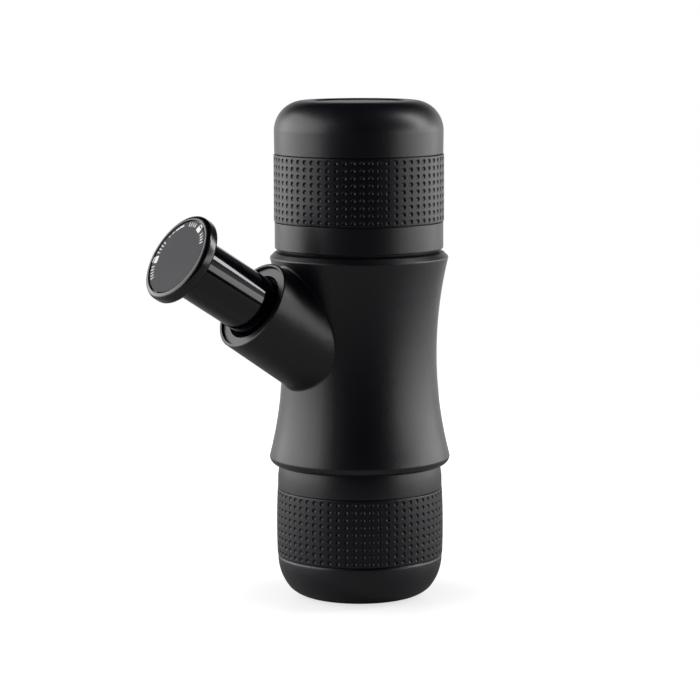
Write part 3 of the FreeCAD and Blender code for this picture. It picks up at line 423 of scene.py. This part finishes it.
turned("water_tank", [
    (TANK_BORE, TANK_BOTTOM), (TANK_RING, TANK_BOTTOM, 0.5), (TANK_RING, SEAT_LOW, 0.2),
    (TANK_SEAT, SEAT_LOW), (TANK_SEAT, SEAT_HIGH), (TANK_RING, SEAT_HIGH, 0.2),
    shoulder, *sweep(shoulder, crown, radius=10.9, steps=20),
    (DISH_RADIUS + 0.5, TANK_TOP, 0.4), (DISH_RADIUS, DISH_FLOOR, 0.3), (0, DISH_FLOOR),
    (0, CEILING), inner_crown, *sweep(inner_crown, inner_shoulder, radius=8.4, steps=10, turn=-1),
    (28, 141.5), (TANK_BORE, 140.3),
], UPRIGHT, "tank", BODY_BLACK)
turned("tank_gasket", [
    (TANK_BORE, LIP_HEIGHT), (GASKET_RADIUS, LIP_HEIGHT), (GASKET_RADIUS, TANK_BOTTOM, 0.2),
    (TANK_BORE, TANK_BOTTOM),
], UPRIGHT, "gasket", SEAL_BLACK)

# %% [markdown]
# ## Cup
# The cup stands on a flat foot, swells through two arcs to the grip band, and narrows to the rim
# that slides into the skirt of the housing. A groove in the rim holds its seal.

# %% Cup
CUP_SEAT = 28.6
CUP_BORE = 26.7
CUP_RIM = 29.1
CUP_TOP = 56
CUP_FLOOR = 2.4
GROOVE_RADIUS = 28.5
GROOVE_LOW, GROOVE_HIGH = 51.6, 53.4
SWELL_HEIGHT = 15.1
CUP_SEAT_HIGH = 39.7
foot, bend, swell = (18, 0), (25.8, 3.2), (29.9, SWELL_HEIGHT)
inner_swell, inner_bend, inner_foot = (CUP_BORE, SWELL_HEIGHT), (23.9, 5.2), (18.5, CUP_FLOOR)

cup_bowl = [
    (0, 0), foot, *sweep(foot, bend, radius=11, steps=10), *sweep(bend, swell, radius=18, steps=12),
    (CUP_SEAT, SWELL_HEIGHT), (CUP_SEAT, CUP_SEAT_HIGH), (29.85, CUP_SEAT_HIGH, 0.2),
    (29.8, 44), (29.35, 47.6), (CUP_RIM, 49),
]
cup_rim = [
    (CUP_RIM, GROOVE_LOW), (GROOVE_RADIUS, GROOVE_LOW), (GROOVE_RADIUS, GROOVE_HIGH),
    (CUP_RIM, GROOVE_HIGH), (CUP_RIM, CUP_TOP, 0.4), (CUP_BORE, CUP_TOP, 0.4),
]
cup_inside = [
    inner_swell, *sweep(inner_swell, inner_bend, radius=17, steps=10, turn=-1),
    *sweep(inner_bend, inner_foot, radius=9, steps=8, turn=-1), (0, CUP_FLOOR),
]
cup_outline = cup_bowl + cup_rim + cup_inside
turned("cup", cup_outline, UPRIGHT, "drinking_cup", BODY_BLACK)

# %% [markdown]
# ## Pump sleeve, knob and liner
# The sleeve of the pump is a polished tube, so every unevenness would show in its reflections. It
# is turned with plain straight sides. The knob has a soft rim round a pocket for its printed
# disc, and the liner ends in a flange that closes the mouth of the boss. Heights run along the
# pump axis.

# %% Pump pieces
SLEEVE_BORE, SLEEVE_RADIUS, SLEEVE_START = 9.4, 10.9, 36
LINER_BORE, LINER_RADIUS, LINER_START = 12.2, 13.7, 11
FLANGE_RADIUS, FLANGE_START, FLANGE_END = 15.5, 51, 53
KNOB_RADIUS, KNOB_START, KNOB_END = 16.5, 85.15, 89.95
POCKET_RADIUS, POCKET_FLOOR = 14.4, 88.75
DISC_RADIUS, DISC_FACE = 14, 89.7

turned("piston_sleeve", [
    (SLEEVE_BORE, SLEEVE_START), (SLEEVE_RADIUS, SLEEVE_START, 0.3),
    (SLEEVE_RADIUS, KNOB_START), (SLEEVE_BORE, KNOB_START),
], PUMP, "knob", GLOSS_BLACK)
turned("barrel_liner", [
    (LINER_BORE, LINER_START), (LINER_RADIUS, LINER_START), (LINER_RADIUS, FLANGE_START),
    (FLANGE_RADIUS, FLANGE_START), (FLANGE_RADIUS, FLANGE_END, 0.35),
    (LINER_BORE, FLANGE_END, 0.4),
], PUMP, "housing", LINER_BLACK)
turned("piston_knob", [
    (0, KNOB_START), (KNOB_RADIUS, KNOB_START, 1.2), (KNOB_RADIUS, KNOB_END, 1.6),
    (POCKET_RADIUS, KNOB_END, 0.2), (POCKET_RADIUS, POCKET_FLOOR), (0, POCKET_FLOOR),
], PUMP, "knob", KNOB_BLACK)
turned("knob_label_disc", [
    (0, POCKET_FLOOR), (DISC_RADIUS, POCKET_FLOOR), (DISC_RADIUS, DISC_FACE, 0.2), (0, DISC_FACE),
], PUMP, "knob", LABEL_GREY)

# %% [markdown]
# ## Marks on the disc
# The disc turns to lock the pump, so it carries a plain printed scale: an open padlock, a closed
# one, and strokes that grow from the first to the second. Every mark is a few flat bars. A bar is
# a cube made by an operator, squeezed to a thin sheet, pushed out to the circle of the marks and
# turned to its angle.

# %% Printed marks
MARK_CIRCLE = 12.9
MARK_THICKNESS = 0.04
OPEN_ANGLE, CLOSED_ANGLE = 101, -25
TICK_ANGLES = (70, 76, 82, 88, 114, 120, 126, 132, 138, 9, 3, -3, -9, -41, -47, -53, -59)
STROKE_ANGLES = (57, 48, 39, 29)


def mark_bar(mesh, angle, across, outward, width, length):
    """A thin bar; across and outward shift it from the middle of the mark at this angle."""
    bar = bmesh.ops.create_cube(mesh, size=1)["verts"]
    bmesh.ops.scale(mesh, vec=(length, width, MARK_THICKNESS), verts=bar)
    bmesh.ops.translate(mesh, vec=(MARK_CIRCLE + outward, across, DISC_FACE), verts=bar)
    turn = Matrix.Rotation(math.radians(angle), 3, "Z")
    bmesh.ops.rotate(mesh, cent=(0, 0, 0), matrix=turn, verts=bar)


def padlock(mesh, angle, closed):
    """A case, two arms and a bow. The second arm of an open one stops short of the case."""
    arm, middle = (1.0, 0.5) if closed else (0.4, 0.8)
    mark_bar(mesh, angle, across=0, outward=-0.75, width=2.8, length=1.7)
    mark_bar(mesh, angle, across=-0.85, outward=0.5, width=0.5, length=1.0)
    mark_bar(mesh, angle, across=0.85, outward=middle, width=0.5, length=arm)
    mark_bar(mesh, angle, across=0, outward=0.95, width=2.2, length=0.5)


marks = bmesh.new()
padlock(marks, OPEN_ANGLE, closed=False)
padlock(marks, CLOSED_ANGLE, closed=True)
for angle in TICK_ANGLES:
    mark_bar(marks, angle, across=0, outward=-0.3, width=0.55, length=1.7)
for step, angle in enumerate(STROKE_ANGLES):
    width, length = 1.1 + 0.4 * step, 0.36 + 0.1 * step
    mark_bar(marks, angle, across=0, outward=0, width=width, length=length)
new_piece("knob_marks", marks, PUMP, "knob", MARK_WHITE)

# %% [markdown]
# ## Grip bands
# Each band is a soft sleeve with nine rows of small round pits, sixty-two to a row. One pit is
# made in a flat cell: a disc is inset and pushed in step by step, and faces join its rim to the
# border of the cell. Nine cells make a column, the column is bent to the band's own profile, and
# spin copies it round the axis. The open ends are then closed with a rim, an edge and an inner
# wall.

# %% One pit
PITS_ROUND = 62
PIT_ROWS = 9
PIT_SIDES = 12
PIT_SHARE = 0.31
PIT_DEPTH = 0.44
PIT_STEPS = ((0.08, 0), (0.18, 0.46), (0.25, 0.36), (0.25, 0.18))
BORDER_PLACES = (-0.5, -1 / 6, 1 / 6, 0.5)


def bearing_of(corner):
    return math.atan2(corner.co.z, corner.co.x)


def sink_pit(mesh, radius):
    """A disc in the plane y = 0, sunk to +y by steps that are shares of its radius and depth."""
    disc = bmesh.ops.create_circle(mesh, cap_ends=True, radius=radius, segments=PIT_SIDES)["verts"]
    pit_floor = disc[0].link_faces[0]
    for angle, axis in ((math.pi / 2, "X"), (math.pi / PIT_SIDES, "Y")):
        turn = Matrix.Rotation(angle, 3, axis)
        bmesh.ops.rotate(mesh, verts=disc, cent=(0, 0, 0), matrix=turn)
    for inset, push in PIT_STEPS:
        bmesh.ops.inset_region(
            mesh, faces=[pit_floor], thickness=inset * radius, use_boundary=True,
            use_even_offset=True,
        )
        bmesh.ops.translate(mesh, verts=list(pit_floor.verts), vec=(0, push * PIT_DEPTH, 0))
        for edge in pit_floor.edges:
            edge.smooth = push > 0


def pit_cell(mesh, across, up):
    """A flat cell in the plane y = 0, with a pit in its middle."""
    sink_pit(mesh, PIT_SHARE * across)
    rim = {corner for edge in mesh.edges if edge.is_boundary for corner in edge.verts}
    sides = [(x, z) for x in BORDER_PLACES for z in BORDER_PLACES if 0.5 in (abs(x), abs(z))]
    border = [mesh.verts.new((x * across, 0, z * up)) for x, z in sides]
    rim = sorted(rim, key=bearing_of)
    border = sorted(border, key=bearing_of)
    for index in range(PIT_SIDES):
        mesh.faces.new((border[index - 1], border[index], rim[index], rim[index - 1]))


# %% Column, bend and spin
PITCH_ANGLE = FULL_TURN / PITS_ROUND
BAND_EDGE = 0.25
BAND_BREAK = 0.08
BAND_MERGE = 0.02


def pit_column(mesh, across, up):
    pit_cell(mesh, across, up)
    first = mesh.verts[:] + mesh.edges[:] + mesh.faces[:]
    for row in range(1, PIT_ROWS):
        copy = bmesh.ops.duplicate(mesh, geom=first)["geom"]
        points = [item for item in copy if isinstance(item, bmesh.types.BMVert)]
        bmesh.ops.translate(mesh, verts=points, vec=(0, 0, row * up))
    bmesh.ops.remove_doubles(mesh, verts=mesh.verts, dist=MERGE)


def bend_round(mesh, across, base, outer):
    """Wraps the flat column on the band: outer(height) is its radius there."""
    for point in mesh.verts:
        angle = point.co.x / across * PITCH_ANGLE
        height = base + point.co.z
        radius = outer(height) - point.co.y
        point.co = (radius * math.cos(angle), radius * math.sin(angle), height)


def step_loop(mesh, loop, radius, height):
    """Extrudes an open round loop of edges and puts the copy at a radius and a height."""
    made = bmesh.ops.extrude_edge_only(mesh, edges=loop)["geom"]
    for item in made:
        if isinstance(item, bmesh.types.BMVert):
            flat = item.co.to_2d().normalized() * radius
            item.co = (flat.x, flat.y, height)
    return [item for item in made if isinstance(item, bmesh.types.BMEdge) and item.is_boundary]


def close_ends(mesh, low, high, inner, outer):
    """Closes the open bottom and top of the bent field with an edge, and joins them inside."""
    open_edges = [item for item in mesh.edges if item.is_boundary]
    middle = (low + high) / 2
    last_loops = []
    for level, inward in ((low, 1), (high, -1)):
        loop = [item for item in open_edges if (middle - item.verts[0].co.z) * inward > 0]
        loop = step_loop(mesh, loop, outer(level) - BAND_BREAK, level + inward * BAND_BREAK)
        loop = step_loop(mesh, loop, outer(level) - BAND_EDGE, level)
        last_loops += step_loop(mesh, loop, inner, level)
    bmesh.ops.bridge_loops(mesh, edges=last_loops)
    bmesh.ops.recalc_face_normals(mesh, faces=mesh.faces)


def grip_band(node_name, body, low, high, inner, outer):
    mesh = bmesh.new()
    across = outer((low + high) / 2) * PITCH_ANGLE
    up = (high - low - 2 * BAND_EDGE) / PIT_ROWS
    pit_column(mesh, across, up)
    bend_round(mesh, across, low + BAND_EDGE + up / 2, outer)
    bmesh.ops.spin(
        mesh, geom=mesh.verts[:] + mesh.edges[:] + mesh.faces[:], cent=(0, 0, 0), axis=UP,
        angle=FULL_TURN, steps=PITS_ROUND, use_duplicate=True, use_merge=False,
    )
    bmesh.ops.remove_doubles(mesh, verts=mesh.verts, dist=BAND_MERGE)
    close_ends(mesh, low, high, inner, outer)
    print(node_name, "open edges left:", sum(item.is_boundary for item in mesh.edges))
    name = "fine_" + node_name
    new_piece(name, mesh, UPRIGHT, body, GRIP_BLACK, (node_name,))


# %% The two bands
TANK_BAND_RADIUS = 30.65
CUP_BAND_LOW, CUP_BAND_HIGH = 15.2, 39.6
CUP_BAND_FOOT = 30.1
CUP_BAND_TAPER = 0.15
CUP_BAND_SWELL = 0.28


def tank_band_radius(height):
    """The tank band is straight, so its radius is the same at every height."""
    return TANK_BAND_RADIUS


def cup_band_radius(height):
    """The cup band tapers a little from its foot and swells most in its middle."""
    share = (height - CUP_BAND_LOW) / (CUP_BAND_HIGH - CUP_BAND_LOW)
    return CUP_BAND_FOOT - CUP_BAND_TAPER * share + 4 * CUP_BAND_SWELL * share * (1 - share)


grip_band("tank_grip_band", "tank", 136.7, 160.8, inner=29.35, outer=tank_band_radius)
grip_band(
    "cup_grip_band", "drinking_cup", CUP_BAND_LOW, CUP_BAND_HIGH, inner=28.7,
    outer=cup_band_radius,
)

# %% [markdown]
# ## Housing
# The waisted shell and its pump boss are one moulding, with a fillet where they meet. The solid
# already holds that shape, as loose triangles, so a copy is merged and its edge loops at the lip
# and at the mouth of the boss are rounded a little, which catches the light as a thin line. Edges
# where two faces still meet at a real corner stay sharp. The solid itself is never touched.

# %% Housing
SHARP_CORNER = math.radians(24)
LEVEL_SLACK = 0.02
RADIUS_SLACK = 0.06


def on_loop(point, axis, level, radius):
    """True for a point of the circle about an axis at a level, within the mesh's fineness."""
    local = axis @ point
    off_level, off_radius = abs(local.z - level), abs(local.to_2d().length - radius)
    return off_level < LEVEL_SLACK and off_radius < RADIUS_SLACK


def round_loop(mesh, place, level, radius, width):
    """Rounds the circle of edges at a level and a radius about the axis of a place."""
    axis = place.inverted()
    loop = [
        edge for edge in mesh.edges
        if all(on_loop(corner.co, axis, level, radius) for corner in edge.verts)
    ]
    bmesh.ops.bevel(
        mesh, geom=loop, offset=width, offset_type="OFFSET", segments=3, profile=0.5,
        affect="EDGES", clamp_overlap=True, material=-1,
    )
    print("edges rounded:", len(loop))


def smooth_copy(node_name, body, finish, loops=()):
    """A merged copy of a solid, with some of its loops of edges rounded."""
    mesh = bmesh.new()
    mesh.from_mesh(frame["nodes"][node_name].data)
    bmesh.ops.scale(mesh, vec=(1 / MM, 1 / MM, 1 / MM), verts=mesh.verts)
    bmesh.ops.remove_doubles(mesh, verts=mesh.verts, dist=MERGE)
    for loop in loops:
        round_loop(mesh, *loop)
    for edge in mesh.edges:
        cornered = len(edge.link_faces) == 2 and edge.calc_face_angle(0) > SHARP_CORNER
        edge.smooth = not cornered
    return new_piece("fine_" + node_name, mesh, UPRIGHT, body, finish, (node_name,))


crease = (UPRIGHT, 123.8, 32.27, 0.35)
lip = (UPRIGHT, LIP_HEIGHT, 30.5, 0.3)
mouth = (PUMP, 54, 16.4, 0.15)
smooth_copy("main_housing", "housing", BODY_BLACK, (crease, lip, mouth))

# %% [markdown]
# ## Springs
# A spring stands on its foot and is pressed together by the piece on its other end: the long one
# by the stroke of the pump, the two small ones by the balls of the valves. Here each one is a
# merged copy of its solid in steel, on the housing, with a mesh of its own; it is not squashed.

# %% Springs
def pressed_spring(node_name):
    """A merged copy of the spring's solid in steel, on the housing, with a mesh of its own."""
    spring = smooth_copy(node_name, "housing", STEEL)
    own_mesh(spring)


pressed_spring("return_spring")
pressed_spring("inlet_spring")
pressed_spring("outlet_spring")

# %% [markdown]
# ## Floor
# The floor is a pale round sheet, small enough that the dark front of the object doesn't mirror
# much of it. To the camera it also glows, less under the object and more toward its edge, so that
# it meets the white background without a line. The weaker glow near the foot is painted shade
# around the object, and the object's real soft shadow falls on top of it. No other ray sees the
# glow. The cup stands on the floor, so the floor follows the cup when it is pulled out of the
# housing.

# %% Floor
FLOOR_RADIUS = 0.5
FLOOR_SIDES = 96
FLOOR_GREY = 0.28
FLOOR_ROUGHNESS = 0.55
GLOW_NEAR, GLOW_FAR = 0.71, 1
GLOW_START, GLOW_END = 0.025, 0.085


def smooth_ramp(tree, value, start, end, low=0, high=1):
    """Goes smoothly from low where the value is at start to high where it is at end."""
    ramp = tree.nodes.new("ShaderNodeMapRange")
    ramp.interpolation_type = "SMOOTHSTEP"
    ramp.inputs["From Min"].default_value = start
    ramp.inputs["From Max"].default_value = end
    ramp.inputs["To Min"].default_value = low
    ramp.inputs["To Max"].default_value = high
    tree.links.new(value, ramp.inputs["Value"])
    return ramp.outputs["Result"]


def make_floor_finish():
    finish, tree, shader = new_finish("studio_floor")
    shader["Base Color"].default_value = (FLOOR_GREY, FLOOR_GREY, FLOOR_GREY, 1)
    shader["Roughness"].default_value = FLOOR_ROUGHNESS
    shader["Emission Color"].default_value = (1, 1, 1, 1)
    reach = tree.nodes.new("ShaderNodeVectorMath")
    reach.operation = "LENGTH"
    tree.links.new(object_place(tree), reach.inputs[0])
    distance = reach.outputs["Value"]
    # The glow is weaker near the object: painted shade round the foot, under its real shadow.
    spread = smooth_ramp(tree, distance, GLOW_START, GLOW_END, GLOW_NEAR, GLOW_FAR)
    seen = tree.nodes.new("ShaderNodeLightPath").outputs["Is Camera Ray"]
    tree.links.new(combine(tree, "MULTIPLY", spread, seen), shader["Emission Strength"])
    return finish


floor_mesh = bmesh.new()
bmesh.ops.create_circle(floor_mesh, cap_ends=True, radius=FLOOR_RADIUS, segments=FLOOR_SIDES)
floor = mesh_object("studio_floor", floor_mesh, make_floor_finish())
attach(floor, "drinking_cup")

# %% [markdown]
# ## Camera
# The photograph was measured: the lens, the distance, the height and the small tilt below follow
# from the ellipses of the round edges and from where the pump axis runs in the picture.

# %% Camera
CAMERA_DISTANCE = 1.0093
CAMERA_HEIGHT = 0.2213
CAMERA_SIDE = Vector((-0.559, -0.829, 0)).normalized()
TILT_DOWN = math.radians(7.43)
TURN_LEFT = math.radians(0.193)
ROLL = math.radians(-0.2)
FOCAL_PIXELS, PICTURE_PIXELS = 2807.5, 700
SENSOR_WIDTH = 36

camera_data = bpy.data.cameras.new("photo_camera")
camera_data.sensor_fit = "HORIZONTAL"
camera_data.sensor_width = SENSOR_WIDTH
camera_data.lens = FOCAL_PIXELS / PICTURE_PIXELS * SENSOR_WIDTH
camera_data.clip_start = 0.01
camera_data.clip_end = 50
camera = add_object("photo_camera", camera_data)
ahead = -CAMERA_SIDE
ahead.rotate(Matrix.Rotation(TURN_LEFT, 3, "Z"))
ahead = ahead * math.cos(TILT_DOWN) - UP * math.sin(TILT_DOWN)
camera.location = CAMERA_SIDE * CAMERA_DISTANCE + UP * CAMERA_HEIGHT
level = ahead.to_track_quat("-Z", "Y").to_matrix()
camera.rotation_euler = (level @ Matrix.Rotation(ROLL, 3, "Z")).to_euler()
bpy.context.scene.camera = camera
print("camera at", [round(value, 4) for value in camera.location])

# %% [markdown]
# ## Light
# Two large soft boxes stand left and right of the object, so a round black surface shows a grey
# sheen near each edge and stays dark in the middle. A narrow box high on the right gives the
# polished tube its streak. The world is white for the camera. For reflections it is white round
# the horizon, but dark overhead and on the camera's side, which is the dark half of the studio.

# %% Soft boxes
def soft_box(name, bearing, low, high, wide, radiance, distance=1.1):
    """An upright soft box facing the object, at a bearing from the camera, left positive."""
    data = bpy.data.lights.new(name, "AREA")
    data.shape = "RECTANGLE"
    data.size, data.size_y = wide, high - low
    data.energy = radiance * math.pi * wide * (high - low)
    box = add_object(name, data)
    way = CAMERA_SIDE.copy()
    way.rotate(Matrix.Rotation(math.radians(-bearing), 3, "Z"))
    box.location = way * distance + UP * ((low + high) / 2)
    box.rotation_euler = (-way).to_track_quat("-Z", "Y").to_euler()
    print(name, "at", [round(value, 2) for value in box.location], "watts", round(data.energy, 1))


soft_box("left_box", bearing=92, low=0.02, high=1.20, wide=1.85, radiance=3.3)
soft_box("right_low_box", bearing=-92, low=0.02, high=0.34, wide=1.85, radiance=3.3)
soft_box("right_high_box", bearing=-98, low=0.39, high=1.60, wide=0.33, radiance=10.0)

# %% World
DARK_SIDE_START, DARK_SIDE_END = -0.05, 0.55
DARK_TOP_START, DARK_TOP_END = 0.22, 0.42
SOFT_FILL = 0.45


def make_world():
    world = bpy.data.worlds.new("studio")
    world.use_nodes = True
    tree = world.node_tree
    ray = tree.nodes.new("ShaderNodeLightPath").outputs
    way = tree.nodes.new("ShaderNodeTexCoord").outputs["Generated"]
    toward = tree.nodes.new("ShaderNodeVectorMath")
    toward.operation = "DOT_PRODUCT"
    toward.inputs[1].default_value = CAMERA_SIDE
    tree.links.new(way, toward.inputs[0])
    upward = tree.nodes.new("ShaderNodeSeparateXYZ")
    tree.links.new(way, upward.inputs[0])
    side = smooth_ramp(tree, toward.outputs["Value"], DARK_SIDE_END, DARK_SIDE_START)
    top = smooth_ramp(tree, upward.outputs["Z"], DARK_TOP_END, DARK_TOP_START)
    horizon = combine(tree, "MULTIPLY", side, top)
    mirrored = combine(tree, "MULTIPLY", ray["Is Glossy Ray"], horizon)
    seen = combine(tree, "MAXIMUM", ray["Is Camera Ray"], mirrored)
    fill = combine(tree, "MULTIPLY", ray["Is Diffuse Ray"], SOFT_FILL)
    background = tree.nodes["Background"]
    background.inputs["Color"].default_value = (1, 1, 1, 1)
    tree.links.new(combine(tree, "MAXIMUM", seen, fill), background.inputs["Strength"])
    return world


bpy.context.scene.world = make_world()
bpy.context.scene.view_settings.view_transform = "Standard"
